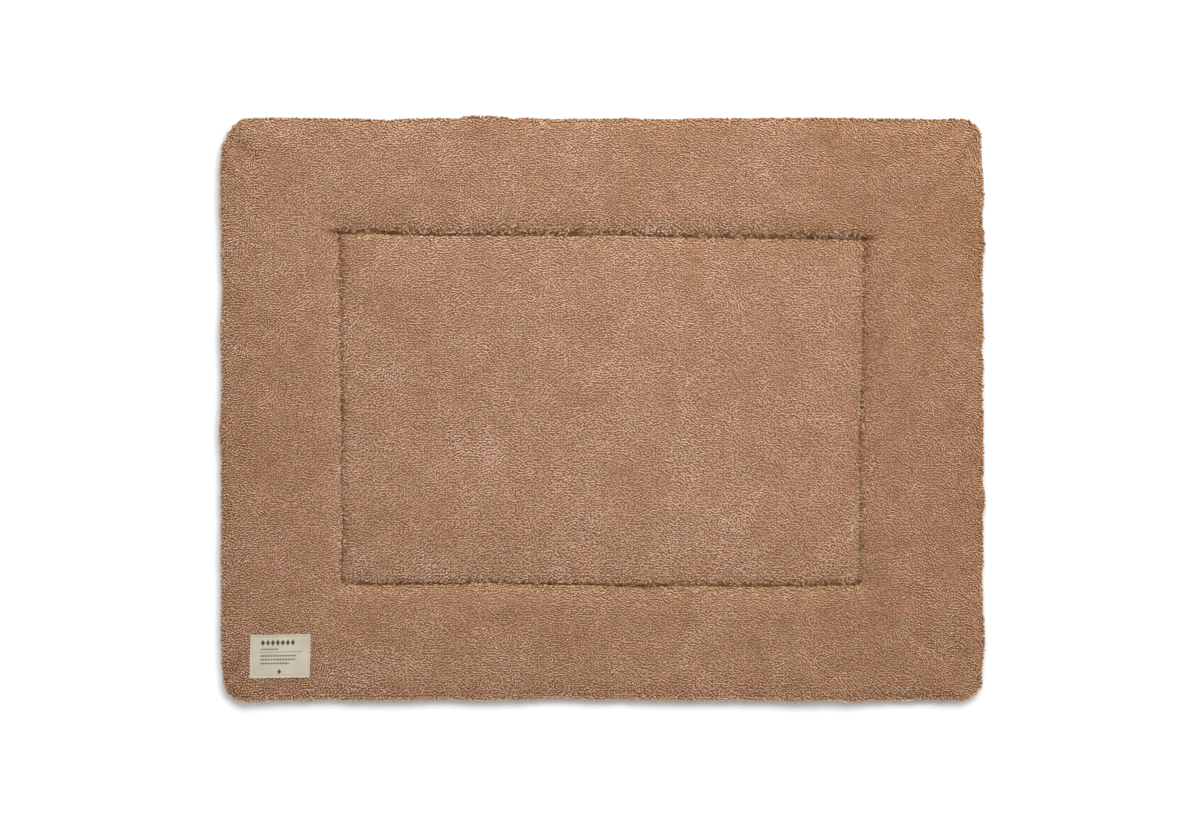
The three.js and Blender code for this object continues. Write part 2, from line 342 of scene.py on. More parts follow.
def mixed(tree, share, one, other):
    """From one colour to the other by a share from 0 to 1."""
    return add_node(tree, "ShaderNodeMix", {0: share, 6: one, 7: other},
                    data_type="RGBA").outputs[2]


def spread(tree, value, source=(0, 1), target=(0, 1), clamp=True):
    """The value's source range spread over the target range."""
    ends = {"From Min": source[0], "From Max": source[1], "To Min": target[0], "To Max": target[1]}
    return add_node(tree, "ShaderNodeMapRange", {"Value": value, **ends}, clamp=clamp).outputs[0]


def grain(tree, place, scale, detail, distortion=0.0):
    """Soft random grey at each place."""
    inputs = {"Vector": place, "Scale": scale, "Detail": detail, "Distortion": distortion}
    return add_node(tree, "ShaderNodeTexNoise", inputs).outputs[0]


def bumped(tree, height, strength, distance):
    """Normals of a surface with that height, which at 1 stands up by the distance."""
    inputs = {"Height": height, "Strength": strength, "Distance": distance}
    return add_node(tree, "ShaderNodeBump", inputs).outputs[0]


def own_place(tree):
    """Where on the object a point is, in metres."""
    return add_node(tree, "ShaderNodeTexCoord").outputs["Object"]


def own_value(tree, attribute):
    """The number that the piece's mesh keeps under that name."""
    return add_node(tree, "ShaderNodeAttribute", attribute_name=attribute).outputs["Fac"]


def new_material(name):
    """A material without nodes yet, and its tree."""
    material = bpy.data.materials.new(name)
    material.use_nodes = True
    material.node_tree.nodes.clear()
    return material, material.node_tree


def end_material(tree, colour, roughness, inputs):
    """Ends a material with a surface of that colour and roughness."""
    surface = add_node(tree, "ShaderNodeBsdfPrincipled",
                       {"Base Color": colour, "Roughness": roughness, **inputs})
    add_node(tree, "ShaderNodeOutputMaterial", {0: surface.outputs[0]})


def dress(piece, material):
    """Gives all of the piece that one material."""
    piece.data.materials.clear()
    piece.data.materials.append(material)
    piece.data.polygons.foreach_set("material_index", [0] * len(piece.data.polygons))


def cloth_finish(name, root_shade_colour, tip_colours, gap_shade_colours):
    """The panels under the curls: the same pile pressed flat where bare, with painted shade between
    its worms, and painted dark for the shade under the curls.
    """
    material, tree = new_material(name)
    place = own_place(tree)
    tip = mixed(tree, grain(tree, place, scale=32, detail=1), *tip_colours)
    worms = grain(tree, place, scale=330, detail=1.5, distortion=1.2)
    crest = spread(tree, worms, source=(0.38, 0.62))
    grown = mixed(tree, crest, root_shade_colour, tip)
    between = mixed(tree, crest, *gap_shade_colours)
    colour = mixed(tree, own_value(tree, "bare"), between, grown)
    fibres = grain(tree, place, scale=1800, detail=2)
    height = maths(tree, "MULTIPLY_ADD", fibres, 0.3, crest)
    end_material(
        tree,
        colour,
        roughness=0.85,
        inputs={"Sheen Weight": 0.1, "Sheen Roughness": SHEEN_ROUGHNESS, "Sheen Tint": SHEEN_COLOUR,
                "Specular IOR Level": 0.06,
                "Normal": bumped(tree, height, strength=0.7, distance=0.0012)},
    )
    return material


# Where the panels are bare, underneath and near the floor, they show the pile's colours; under the
# curls they are painted dark for the shade there.
facing_down = (BARE_SLOPE - normals_of(body.data)[:, 2]) / BARE_SLOPE_FADE
near_floor = (BARE_BELOW - places_of(body.data)[:, 2]) / BARE_BELOW_FADE
bare = np.clip(np.maximum(facing_down, near_floor), 0, 1)
body.data.attributes.new("bare", "FLOAT", "POINT").data.foreach_set("value", bare)
dress(body, cloth_finish("pile_cloth_panel", ROOT_SHADE_COLOUR, (TIP_PINK, TIP_OLIVE),
                         (GAP_SHADE_DARK, GAP_SHADE_LIGHT)))

# The pile: short worm-like curls of yarn that stand close together on the cloth and lie in swirls.
# Three curls are modelled once each, rooted evenly over the cloth, and joined into five pieces of
# the one pile, because a single mesh of them would be too heavy.
CURL_LENGTH = 0.0042
CURL_WIDTH = 0.0023
CURL_HEIGHT = 0.0030
CURL_SHAPES = (
    # how long and wide beside the sizes above, how hooked and wavy, and the share of all curls
    {"name": "curl_hook", "long": 1.0, "wide": 1.0, "hook": 0.22, "wave": 0.0, "share": 0.40},
    {"name": "curl_wave", "long": 1.3, "wide": 0.9, "hook": 0.0, "wave": 0.2, "share": 0.35},
    {"name": "curl_knob", "long": 0.8, "wide": 1.1, "hook": 0.1, "wave": 0.1, "share": 0.25},
)
CURL_SEED = 7
ROOT_PITCH = 0.00245
ROOT_SLOPE_FROM = -0.55
ROOT_HEIGHT_FROM = 0.003
SEAM_EDGE_WAVES = {"length": 0.010, "rise": 0.0015, "seed": 27.0}
SEAM_EDGE_SPREAD = 0.0007

# The label presses the pile down, so no curl stands under it.
LABEL_MIDDLE = (-0.3993, -0.3060)
LABEL_SIZE = (0.075, 0.054)
LABEL_TURN = math.radians(1.0)
LABEL_OVERHANG = 0.001

# How the curls lie, lean and differ: fanned out from the mat's middle, in swirls and patches.
FAN = math.radians(20)
FAN_TURN = math.radians(5)
FAN_MIDDLE = 0.05
FAN_REACH = 0.22
SWIRLS = {"length": 0.030, "rise": 0.55, "seed": 1.0}
STRAY = 0.32
LEAN = 0.10
SIZE_SPREAD = (0.88, 1.12)
SIZE_CLOSE = 1.15
SIZE_OPEN_LESS = 0.24
SIZE_LIMITS = (0.6, 1.4)
SEAM_SIZE_SPREAD = 0.2
SEAM_SIZE_REACH = 0.004
OPEN_PATCHES = {"length": 0.032, "rise": 0.5, "seed": 11.0}
PUSHED_OUT = (0.0004, 0.0014)

# How light each curl is: in soft random patches, with painted shade on the border (least at its top),
# towards the right (most at the top right) and on the rim (most at the top), and painted light on the
# bottom rim.
SHADE = 0.55
SHADE_PATCHES = {"length": 0.030, "rise": 0.20, "seed": 15.0}
SHADE_CLOUDS = {"length": 0.09, "rise": 0.2, "seed": 17.0}
SHADE_SPREAD = 0.15
SHADE_LIMITS = (-1.6, 1.7)
RIM_PAINTED_SHADE = 0.15
RIM_TOP_SHADE_BOTTOM_LIGHT = 1.7
CENTRE_HALF = (0.3245, 0.2185)
BORDER_FADE = 0.02
BORDER_PAINTED_SHADE = 0.27
BORDER_TOP_LESS = 0.16
RIGHT_FROM = 0.15
RIGHT_PAINTED_SHADE = 0.25
FAR_OUT = 0.3

# In and beside the cleft the pile is painted with shade in deep root brown, furthest on the side that
# faces away from the light and along the top run, and unevenly from curl to curl; slopes beside it
# that face the light get painted shade too.
LIGHT_WAY = (0.4, 0.9)
LIT_SHARPNESS = 2.5
SEAM_PAINTED_SHADE = 1.45
SEAM_SIDES_LESS = 0.6
SEAM_SPOTS = (0.2, 0.8, 2.2)
SEAM_WAVES = {"length": 0.009, "rise": 0.6, "seed": 33.0}
SEAM_REACH = 0.0040
SEAM_REACH_UNLIT = 1.1
SEAM_REACH_LIT_LESS = 0.68
SEAM_REACH_LEVEL = 0.82
SEAM_REACH_TOP_MORE = 0.18
SEAM_REACH_TOP_AT = 0.1
CREASE_PAINTED_SHADE = 1.2
CREASE_PAINTED_SHADE_REACH = 0.003
CLEFT_PAINTED_SHADE = 1.7
LIT_LIP_PAINTED_SHADE = 0.45
LIP_REACH = 0.008

# Each curl gets a painted highlight in a creamy colour along its crest, which stops in the cleft.
CREST_HIGHLIGHT_COLOUR = (0.745, 0.605, 0.435, 1)
CREST_HIGHLIGHT_SHARE = 0.6
TIP_FALLOFF = 1.4
CLEFT_HUE = 1.12
OPEN_HUE_MORE = 0.2


def model_curl(name, length, width, height, hook, wave):
    """One curl: a three-sided worm, crest up, whose ends go down into the cloth, bent sideways."""
    bpy.ops.object.select_all(action="DESELECT")
    bpy.ops.mesh.primitive_uv_sphere_add(segments=3, ring_count=3, radius=1.0)
    curl = bpy.context.object
    curl.name = name
    bpy.ops.object.mode_set(mode="EDIT")
    bpy.ops.mesh.select_all(action="SELECT")
    middle = (0, 0, 0)
    quarter = math.radians(90)
    bpy.ops.transform.rotate(value=quarter, orient_axis="Y", center_override=middle)
    bpy.ops.transform.rotate(value=-quarter, orient_axis="X", center_override=middle)
    cage = bmesh.from_edit_mesh(curl.data)
    wide = max(vert.co.y for vert in cage.verts)
    high = max(vert.co.z for vert in cage.verts) - min(vert.co.z for vert in cage.verts)
    thick = (length / 2, width / 2 / wide, height / high)
    bpy.ops.transform.resize(value=thick, center_override=middle)
    bends = (
        # where along the curl, how far that stretch shifts sideways, and how far up
        {"share": -1, "side": hook - wave, "up": -0.6},
        {"share": -0.5, "side": -hook + wave, "up": 0.0},
        {"share": 0.5, "side": -hook - wave, "up": 0.0},
        {"share": 1, "side": hook + wave, "up": -0.6},
    )
    for bend in bends:
        at = bend["share"] * length / 2
        select_parts(cage, cage.verts, lambda vert: abs(vert.co.x - at) < 0.06 * length)
        bmesh.update_edit_mesh(curl.data)
        bpy.ops.transform.translate(value=(0, bend["side"] * width, bend["up"] * height))
    bpy.ops.object.mode_set(mode="OBJECT")
    bpy.ops.object.shade_smooth()
    # The tip number leads the painted shade down towards the root and the painted highlight on the
    # crest.
    tip = curl.data.attributes.new("tip", "FLOAT", "POINT")
    tip.data.foreach_set("value", np.clip(places_of(curl.data)[:, 2] / height + 0.33, 0, 1))
    return curl


def root_scatter():
    """Nodes that turn a cloth into bare points, evenly scattered over it, which know its normals."""
    tree = bpy.data.node_groups.new("root_scatter", "GeometryNodeTree")
    tree.interface.new_socket("Cloth", in_out="INPUT", socket_type="NodeSocketGeometry")
    tree.interface.new_socket("Roots", in_out="OUTPUT", socket_type="NodeSocketGeometry")
    cloth_in = add_node(tree, "NodeGroupInput").outputs[0]
    scattered = add_node(
        tree,
        "GeometryNodeDistributePointsOnFaces",
        {"Mesh": cloth_in, "Distance Min": ROOT_PITCH, "Density Max": 4 / ROOT_PITCH**2,
         "Seed": CURL_SEED},
        distribute_method="POISSON",
    )
    known = add_node(
        tree,
        "GeometryNodeStoreNamedAttribute",
        {"Geometry": scattered.outputs["Points"], "Name": "root_normal",
         "Value": scattered.outputs["Normal"]},
        data_type="FLOAT_VECTOR",
        domain="POINT",
    )
    points = add_node(tree, "GeometryNodePointsToVertices", {0: known.outputs[0]})
    add_node(tree, "NodeGroupOutput", {0: points.outputs[0]})
    return tree


def planting(box):
    """Nodes that put one of the box's shapes on every root, as its attributes say, in one mesh."""
    tree = bpy.data.node_groups.new("planting", "GeometryNodeTree")
    tree.interface.new_socket("Roots", in_out="INPUT", socket_type="NodeSocketGeometry")
    tree.interface.new_socket("Pile", in_out="OUTPUT", socket_type="NodeSocketGeometry")
    roots_in = add_node(tree, "NodeGroupInput").outputs[0]
    shapes = add_node(
        tree,
        "GeometryNodeCollectionInfo",
        {"Collection": box, "Separate Children": True, "Reset Children": True},
    )
    kinds = {"stand": "FLOAT_VECTOR", "lie": "FLOAT_VECTOR", "size": "FLOAT", "pick": "INT"}
    known = {
        name: add_node(tree, "GeometryNodeInputNamedAttribute", {"Name": name},
                       data_type=kind).outputs[0]
        for name, kind in kinds.items()
    }
    upright = add_node(tree, "FunctionNodeAlignRotationToVector", {"Vector": known["stand"]},
                       axis="Z")
    turned = add_node(
        tree,
        "FunctionNodeAlignRotationToVector",
        {"Rotation": upright.outputs[0], "Vector": known["lie"]},
        axis="X",
        pivot_axis="Z",
    )
    planted = add_node(
        tree,
        "GeometryNodeInstanceOnPoints",
        {"Points": roots_in, "Instance": shapes.outputs[0], "Pick Instance": True,
         "Instance Index": known["pick"], "Rotation": turned.outputs[0], "Scale": known["size"]},
    )
    joined = add_node(tree, "GeometryNodeRealizeInstances", {0: planted.outputs[0]})
    add_node(tree, "NodeGroupOutput", {0: joined.outputs[0]})
    return tree


def plant(name, nodes, at, **columns):
    """A piece made of the box's shapes at these places. The columns say how each one stands."""
    mesh = bpy.data.meshes.new(name)
    mesh.vertices.add(len(at))
    move_to(mesh, at)
    for column, values in columns.items():
        kind = {2: "FLOAT_VECTOR", 1: "INT" if values.dtype.kind == "i" else "FLOAT"}[values.ndim]
        made = mesh.attributes.new(column, kind, "POINT")
        made.data.foreach_set("vector" if values.ndim == 2 else "value", values.ravel())
    piece = bpy.data.objects.new(name, mesh)
    bpy.context.scene.collection.objects.link(piece)
    pick_alone(piece)
    apply_modifier(piece, "NODES", node_group=nodes)
    return piece


def pile_finish(name, root_shade_colour, tip_colours, crest_highlight_colour):
    """Matt curly yarn: pinkish and olive patches, a shade for each curl, painted shade down at its
    roots and in the cleft, and a painted highlight on its crest.
    """
    material, tree = new_material(name)
    place = own_place(tree)
    up = own_value(tree, "tip")
    out_of_cleft = maths(tree, "SUBTRACT", 1.0, own_value(tree, "deep"))
    tip = mixed(tree, own_value(tree, "open"), *tip_colours)
    pale = maths(tree, "MULTIPLY", maths(tree, "POWER", up, TIP_FALLOFF), out_of_cleft)
    grown = mixed(tree, pale, root_shade_colour, tip)
    # A painted highlight along the crest of each curl, none in the cleft.
    worn = spread(tree, up, source=(0.7, 1), target=(0, CREST_HIGHLIGHT_SHARE))
    highlighted = mixed(tree, maths(tree, "MULTIPLY", worn, out_of_cleft), grown, crest_highlight_colour)
    shade = spread(tree, own_value(tree, "shade"), target=(0.85, 1.15), clamp=False)
    fibres = grain(tree, place, scale=800, detail=3)
    fibre_shade = spread(tree, fibres, source=(0.3, 0.7), target=(0.75, 1.25))
    value = maths(tree, "MULTIPLY", shade, fibre_shade)
    paler = spread(tree, value, source=(0.3, 1.4), target=(1.60, 0.66))
    most = maths(tree, "MULTIPLY_ADD", out_of_cleft, OPEN_HUE_MORE, CLEFT_HUE)
    colour = add_node(
        tree,
        "ShaderNodeHueSaturation",
        {"Saturation": maths(tree, "MINIMUM", paler, most), "Value": value, "Color": highlighted},
    )
    kinks = grain(tree, place, scale=620, detail=1.5)
    end_material(
        tree,
        colour.outputs[0],
        roughness=0.6,
        inputs={"Sheen Weight": 0.1, "Sheen Roughness": SHEEN_ROUGHNESS, "Sheen Tint": SHEEN_COLOUR,
                "Specular IOR Level": 0.12,
                "Normal": bumped(tree, kinks, strength=0.9, distance=0.0022)},
    )
    return material


curl_box = bpy.data.collections.new("curls")
for shape in CURL_SHAPES:
    curl = model_curl(shape["name"], CURL_LENGTH * shape["long"], CURL_WIDTH * shape["wide"],
                      CURL_HEIGHT, hook=shape["hook"], wave=shape["wave"])
    curl_box.objects.link(curl)

rooted = own_copy(body, "rooted")
pick_alone(rooted)
apply_modifier(rooted, "NODES", node_group=root_scatter())
roots = places_of(rooted.data)
standing = vectors_in(rooted.data.attributes["root_normal"].data, "vector")
standing /= np.linalg.norm(standing, axis=1)[:, None]

# Where curls stand: on the top and round the rim, not underneath, in the cleft or under the label.
draw = np.random.default_rng(CURL_SEED)
line_gap = gap_to_line(roots[:, :2], sewn_line)[0]
label_way = np.array((math.cos(LABEL_TURN), math.sin(LABEL_TURN)))
label_up_way = np.array((-math.sin(LABEL_TURN), math.cos(LABEL_TURN)))
from_label = roots[:, :2] - LABEL_MIDDLE
under_label = (np.abs(from_label @ label_way) < LABEL_SIZE[0] / 2 - LABEL_OVERHANG) & (
    np.abs(from_label @ label_up_way) < LABEL_SIZE[1] / 2 - LABEL_OVERHANG
)
underneath = (standing[:, 2] < ROOT_SLOPE_FROM) | (roots[:, 2] < ROOT_HEIGHT_FROM)
seam_edge = uneven(roots, **SEAM_EDGE_WAVES) + draw.normal(0, SEAM_EDGE_SPREAD, len(roots))
in_cleft = (line_gap < seam_edge) & (standing[:, 2] > 0)
growing = ~(under_label | underneath | in_cleft)
roots = roots[growing]
standing = standing[growing]
line_gap = line_gap[growing]
count = len(roots)

# How each curl lies: along the swirl at its place, leaning and sized a little at random.
swirl = FAN_TURN - FAN * np.tanh((roots[:, 0] - FAN_MIDDLE) / FAN_REACH) + uneven(roots, **SWIRLS)
swirl += draw.normal(0, STRAY, count)
lie = np.stack([np.cos(swirl), np.sin(swirl), np.zeros(count)], axis=1)
stand = standing + draw.normal(0, LEAN, (count, 3))
open_pile = np.clip(0.5 + uneven(roots, **OPEN_PATCHES), 0, 1)
size = draw.uniform(*SIZE_SPREAD, count) * (SIZE_CLOSE - SIZE_OPEN_LESS * open_pile)

# How light or dark it is: soft random patches, and painted shade on the border, towards the right and
# on the rim, painted light on the bottom rim.
shade = SHADE + uneven(roots, **SHADE_PATCHES) + uneven(roots, **SHADE_CLOUDS)
shade += draw.normal(0, SHADE_SPREAD, count)
rim = np.clip(1 - standing[:, 2], 0, 1)
shade -= rim * (RIM_PAINTED_SHADE + RIM_TOP_SHADE_BOTTOM_LIGHT * standing[:, 1])
beyond = np.maximum(np.abs(roots[:, 0]) - CENTRE_HALF[0], np.abs(roots[:, 1]) - CENTRE_HALF[1])
towards_top = ramp(roots[:, 1], 0, FAR_OUT)
shade -= ramp(beyond, 0, BORDER_FADE) * (BORDER_PAINTED_SHADE - BORDER_TOP_LESS * towards_top)
shade -= RIGHT_PAINTED_SHADE * ramp(roots[:, 0], RIGHT_FROM, FAR_OUT) * (1 + towards_top)

# How far it is down in the cleft or in a crease, and so how much painted shade it takes in root brown;
# slopes beside the cleft that face the light take painted shade too.
lit = LIGHT_WAY[1] * standing[:, 1] + LIGHT_WAY[0] * standing[:, 0]
lit_side = np.clip(0.5 + LIT_SHARPNESS * lit, 0, 1)
reach = SEAM_REACH * (SEAM_REACH_UNLIT - SEAM_REACH_LIT_LESS * lit_side)
reach *= SEAM_REACH_LEVEL + SEAM_REACH_TOP_MORE * np.clip(roots[:, 1] / SEAM_REACH_TOP_AT, -1, 1)
deep = SEAM_PAINTED_SHADE * (1 - SEAM_SIDES_LESS * on_side_runs(roots)) * draw.choice(SEAM_SPOTS, count)
deep *= (1 + uneven(roots, **SEAM_WAVES)) * np.exp(-line_gap / reach)
for crease in CREASES:
    deep += CREASE_PAINTED_SHADE * crease_strength(roots, crease, CREASE_PAINTED_SHADE_REACH)
deep = np.clip(deep, 0, 1)
shade -= LIT_LIP_PAINTED_SHADE * np.exp(-line_gap / LIP_REACH) * np.clip(lit, 0, 1) + CLEFT_PAINTED_SHADE * deep
shade = np.clip(shade, *SHADE_LIMITS)
size *= 1 + SEAM_SIZE_SPREAD * draw.normal(0, 1, count) * np.exp(-line_gap / SEAM_SIZE_REACH)
size = np.clip(size, *SIZE_LIMITS)
pick = draw.choice(len(CURL_SHAPES), count, p=[shape["share"] for shape in CURL_SHAPES])
at = roots + standing * draw.uniform(*PUSHED_OUT, count)[:, None]

# The five pieces: border at the top, at the bottom and at both sides, and two halves of the centre.
inside_x = np.abs(roots[:, 0]) < CENTRE_HALF[0]
inside_y = np.abs(roots[:, 1]) < CENTRE_HALF[1]
pile_pieces = {
    "pile_border_top": ~inside_y & (roots[:, 1] > 0),
    "pile_border_bottom": ~inside_y & (roots[:, 1] < 0),
    "pile_border_sides": inside_y & ~inside_x,
    "pile_centre_left": inside_y & inside_x & (roots[:, 0] < 0),
    "pile_centre_right": inside_y & inside_x & (roots[:, 0] >= 0),
}
curl_nodes = planting(curl_box)
pile_yarn = pile_finish("pile_yarn", ROOT_SHADE_COLOUR, (TIP_PINK, TIP_OLIVE), CREST_HIGHLIGHT_COLOUR)
for name, its in pile_pieces.items():
    pile = plant(name, curl_nodes, at[its], stand=stand[its], lie=lie[its], size=size[its],
                 pick=pick[its], shade=shade[its], open=open_pile[its], deep=deep[its])
    dress(pile, pile_yarn)
    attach(pile, "root")
for spare in [rooted, *curl_box.objects]:
    bpy.data.objects.remove(spare)

# The quilting thread: brown spun yarn, sewn through the top panel, the wadding and the back along
# the rectangle. Its small lockstitches lie in one row along the bottom of the cleft.
STITCH_LENGTH = 0.0034
STITCH_WIDTH = 0.0008
STITCH_GAP = 0.0010
STITCH_RAISE = 0.2
STITCH_ENDS_FROM = 0.47
BROWN_DARK = (0.10, 0.032, 0.013, 1)
BROWN_LIGHT = (0.33, 0.130, 0.062, 1)
LOOK_FROM = 0.1


def model_stitch(name, length, width):
    """One stitch: a short straight lie of thread whose ends go down through the cloth."""
    bpy.ops.object.select_all(action="DESELECT")
    bpy.ops.mesh.primitive_uv_sphere_add(segments=6, ring_count=5, radius=1.0)
    stitch = bpy.context.object
    stitch.name = name
    bpy.ops.object.mode_set(mode="EDIT")
    bpy.ops.mesh.select_all(action="SELECT")
    middle = (0, 0, 0)
    bpy.ops.transform.rotate(value=math.radians(90), orient_axis="Y", center_override=middle)
    thick = (length / 2, width / 2, width / 2)
    bpy.ops.transform.resize(value=thick, center_override=middle)
    cage = bmesh.from_edit_mesh(stitch.data)
    select_parts(cage, cage.verts, lambda vert: abs(vert.co.x) > STITCH_ENDS_FROM * length)
    bmesh.update_edit_mesh(stitch.data)
    bpy.ops.transform.translate(value=(0, 0, -width))
    bpy.ops.object.mode_set(mode="OBJECT")
    bpy.ops.object.shade_smooth()
    return stitch


def walk(line, step):
    """Places every step along a line of points, and which way the line runs at each."""
    runs = np.diff(line, axis=0)
    passed = np.concatenate([[0], np.cumsum(np.linalg.norm(runs, axis=1))])
    count = int(passed[-1] / step)
    stops = (np.arange(count) + 0.5) * passed[-1] / count
    leg = np.clip(np.searchsorted(passed, stops) - 1, 0, len(runs) - 1)
    way = runs[leg] / np.linalg.norm(runs[leg], axis=1)[:, None]
    at = np.stack([np.interp(stops, passed, line[:, 0]), np.interp(stops, passed, line[:, 1])], 1)
    return at, way


def top_of(piece, spots):
    """The height and the normal of the piece's upper face above each x, y."""
    heights = []
    normals = []
    for x, y in spots:
        _, where, facing, _ = piece.ray_cast(Vector((x, y, LOOK_FROM)), Vector((0, 0, -1)))
        heights.append(where.z)
        normals.append(facing)
    return np.array(heights), np.array(normals)


def sew(name, stitch, spots, ways, height, facing):
    """A row of copies of the stitch, one at each spot, lying the way its row runs."""
    box = bpy.data.collections.new(name)
    box.objects.link(stitch)
    flat_ways = np.column_stack([ways, np.zeros(len(ways))])
    row = plant(name, planting(box), np.column_stack([spots, height]), stand=facing,
                lie=flat_ways, size=np.ones(len(spots)), pick=np.zeros(len(spots), dtype=int))
    bpy.data.objects.remove(stitch)
    return row


def thread_finish(name, dark, light):
    """Spun sewing thread: slanted plies wound round each stitch, with painted shade in the grooves
    between them.
    """
    material, tree = new_material(name)
    around = add_node(tree, "ShaderNodeAttribute", attribute_name="UVMap").outputs["Vector"]
    parts = add_node(tree, "ShaderNodeSeparateXYZ", {0: around})
    slant = maths(tree, "MULTIPLY_ADD", parts.outputs[1], 4.0, parts.outputs[0])
    turns = maths(tree, "MULTIPLY", slant, 2 * math.pi)
    ply = spread(tree, maths(tree, "SINE", turns), source=(-1, 1))
    worn = grain(tree, own_place(tree), scale=90, detail=3)
    end_material(
        tree,
        mixed(tree, maths(tree, "MULTIPLY", ply, worn), dark, light),
        roughness=0.6,
        inputs={"Sheen Weight": 0.05, "Specular IOR Level": 0.12,
                "Normal": bumped(tree, ply, strength=0.6, distance=0.0002)},
    )
    return material


spots, ways = walk(sewn_line, STITCH_LENGTH + STITCH_GAP)
height, facing = top_of(body, spots)
quilting = sew("quilting_thread", model_stitch("stitch", STITCH_LENGTH, STITCH_WIDTH), spots, ways,
               height + STITCH_RAISE * STITCH_WIDTH, facing)
dress(quilting, thread_finish("brown_thread", BROWN_DARK, BROWN_LIGHT))
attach(quilting, "root")

# The label: a small cream tab of plain-woven cotton tape near the corner, sewn down all round just
# inside its edge, so that it dips a little under the stitches. It carries a small generic border
# ornament in worn dark ink, and no words.
LABEL_THICK = 0.0009
LABEL_RAISE = 0.0026
LABEL_GRID = (100, 72)
LABEL_SLANT = 0.04
LABEL_WAVES = {"length": 0.018, "rise": 0.0003, "seed": 31.0}
END_WAVES = {"length": 0.011, "rise": 0.00035, "seed": 21.0}
EDGE_WAVES = {"length": 0.011, "rise": 0.00035, "seed": 23.0}
SEWN_INSET = 0.0032
SEWN_DIP = 0.0005
SEWN_DIP_REACH = 0.0011
LABEL_STITCH_LENGTH = 0.0026
LABEL_STITCH_WIDTH = 0.0005
LABEL_STITCH_GAP = 0.0009
LABEL_STITCH_RAISE = 0.0001
LABEL_THREADS = (150, 108)
CREAM = (0.422, 0.384, 0.304, 1)
# The tape where it is soiled, and painted shade where its threads dip under each other.
CREAM_SHADE_AND_SOIL = (0.262, 0.229, 0.170, 1)
INK = (0.014, 0.012, 0.011, 1)
INK_COVER = 0.93
CREAM_THREAD_DARK = (0.26, 0.22, 0.16, 1)
CREAM_THREAD_LIGHT = (0.56, 0.52, 0.41, 1)
LABEL_PRINT = (
    # as shares of the label from its lower left corner: rows of plain lozenges and one rule
    {"shape": "lozenge", "left": 0.17, "right": 0.75, "middle": 0.810, "tall": 0.155, "count": 7},
    {"shape": "lozenge", "left": 0.17, "right": 0.47, "middle": 0.664, "tall": 0.050, "count": 13},
    {"shape": "rule", "left": 0.16, "right": 0.86, "middle": 0.600, "tall": 0.010, "count": 1},
    {"shape": "lozenge", "left": 0.17, "right": 0.77, "middle": 0.511, "tall": 0.058, "count": 24},
    {"shape": "lozenge", "left": 0.17, "right": 0.75, "middle": 0.425, "tall": 0.058, "count": 23},
    {"shape": "lozenge", "left": 0.17, "right": 0.65, "middle": 0.336, "tall": 0.058, "count": 19},
    {"shape": "lozenge", "left": 0.45, "right": 0.53, "middle": 0.145, "tall": 0.130, "count": 1},
)


def label_steps(across, upwards):
    """Steps across and up the label, as steps on the mat."""
    return np.outer(across, label_way) + np.outer(upwards, label_up_way)


def label_height(across, upwards):
    """The label lies on the pressed pile, dips under its stitches and lifts a little at its edge."""
    spots = LABEL_MIDDLE + label_steps(across, upwards)
    height = top_of(body, spots)[0] + LABEL_RAISE
    inside = np.minimum(LABEL_SIZE[0] / 2 - np.abs(across), LABEL_SIZE[1] / 2 - np.abs(upwards))
    height -= SEWN_DIP * np.exp(-(((inside - SEWN_INSET) / SEWN_DIP_REACH) ** 2))
    return height + uneven(spots, **LABEL_WAVES)


def cut_edge(shares, beside, waves):
    """How far each place shifts out or in with the wavy cut edge, and hardly away from the edge."""
    wave = uneven(np.column_stack([beside, np.zeros(len(beside))]), **waves)
    return wave * (2 * np.abs(shares)) ** 6 * np.sign(shares)


def thread_set(tree, across, along, first):
    """How high one set of threads stands in a plain weave, across and along counted in threads."""
    crown = maths(tree, "ABSOLUTE", maths(tree, "SINE", maths(tree, "MULTIPLY", across, math.pi)))
    steps = maths(tree, "ADD", maths(tree, "FLOOR", across), first)
    phase = maths(tree, "MULTIPLY", maths(tree, "ADD", along, steps), math.pi)
    over = maths(tree, "MULTIPLY_ADD", maths(tree, "SINE", phase), 0.5, 0.5)
    return maths(tree, "MULTIPLY", crown, over)


def printed_row(tree, u, v, row):
    """Ink of one row of the print: 1 inside its lozenges or its rule, 0 outside."""
    share = maths(tree, "DIVIDE", maths(tree, "SUBTRACT", u, row["left"]), row["right"] - row["left"])
    between = maths(tree, "COMPARE", share, 0.5, 0.5)
    cell = maths(tree, "FRACT", maths(tree, "MULTIPLY", share, row["count"]))
    off_side = maths(tree, "ABSOLUTE", maths(tree, "MULTIPLY_ADD", cell, 2.1, -1.05))
    off_middle = maths(tree, "ABSOLUTE", maths(tree, "SUBTRACT", v, row["middle"]))
    off_high = maths(tree, "DIVIDE", off_middle, row["tall"] / 2)
    if row["shape"] == "lozenge":
        off_high = maths(tree, "ADD", off_high, off_side)
    sharp = spread(tree, maths(tree, "SUBTRACT", 1.0, off_high), source=(0, 0.15))
    return maths(tree, "MULTIPLY", sharp, between)


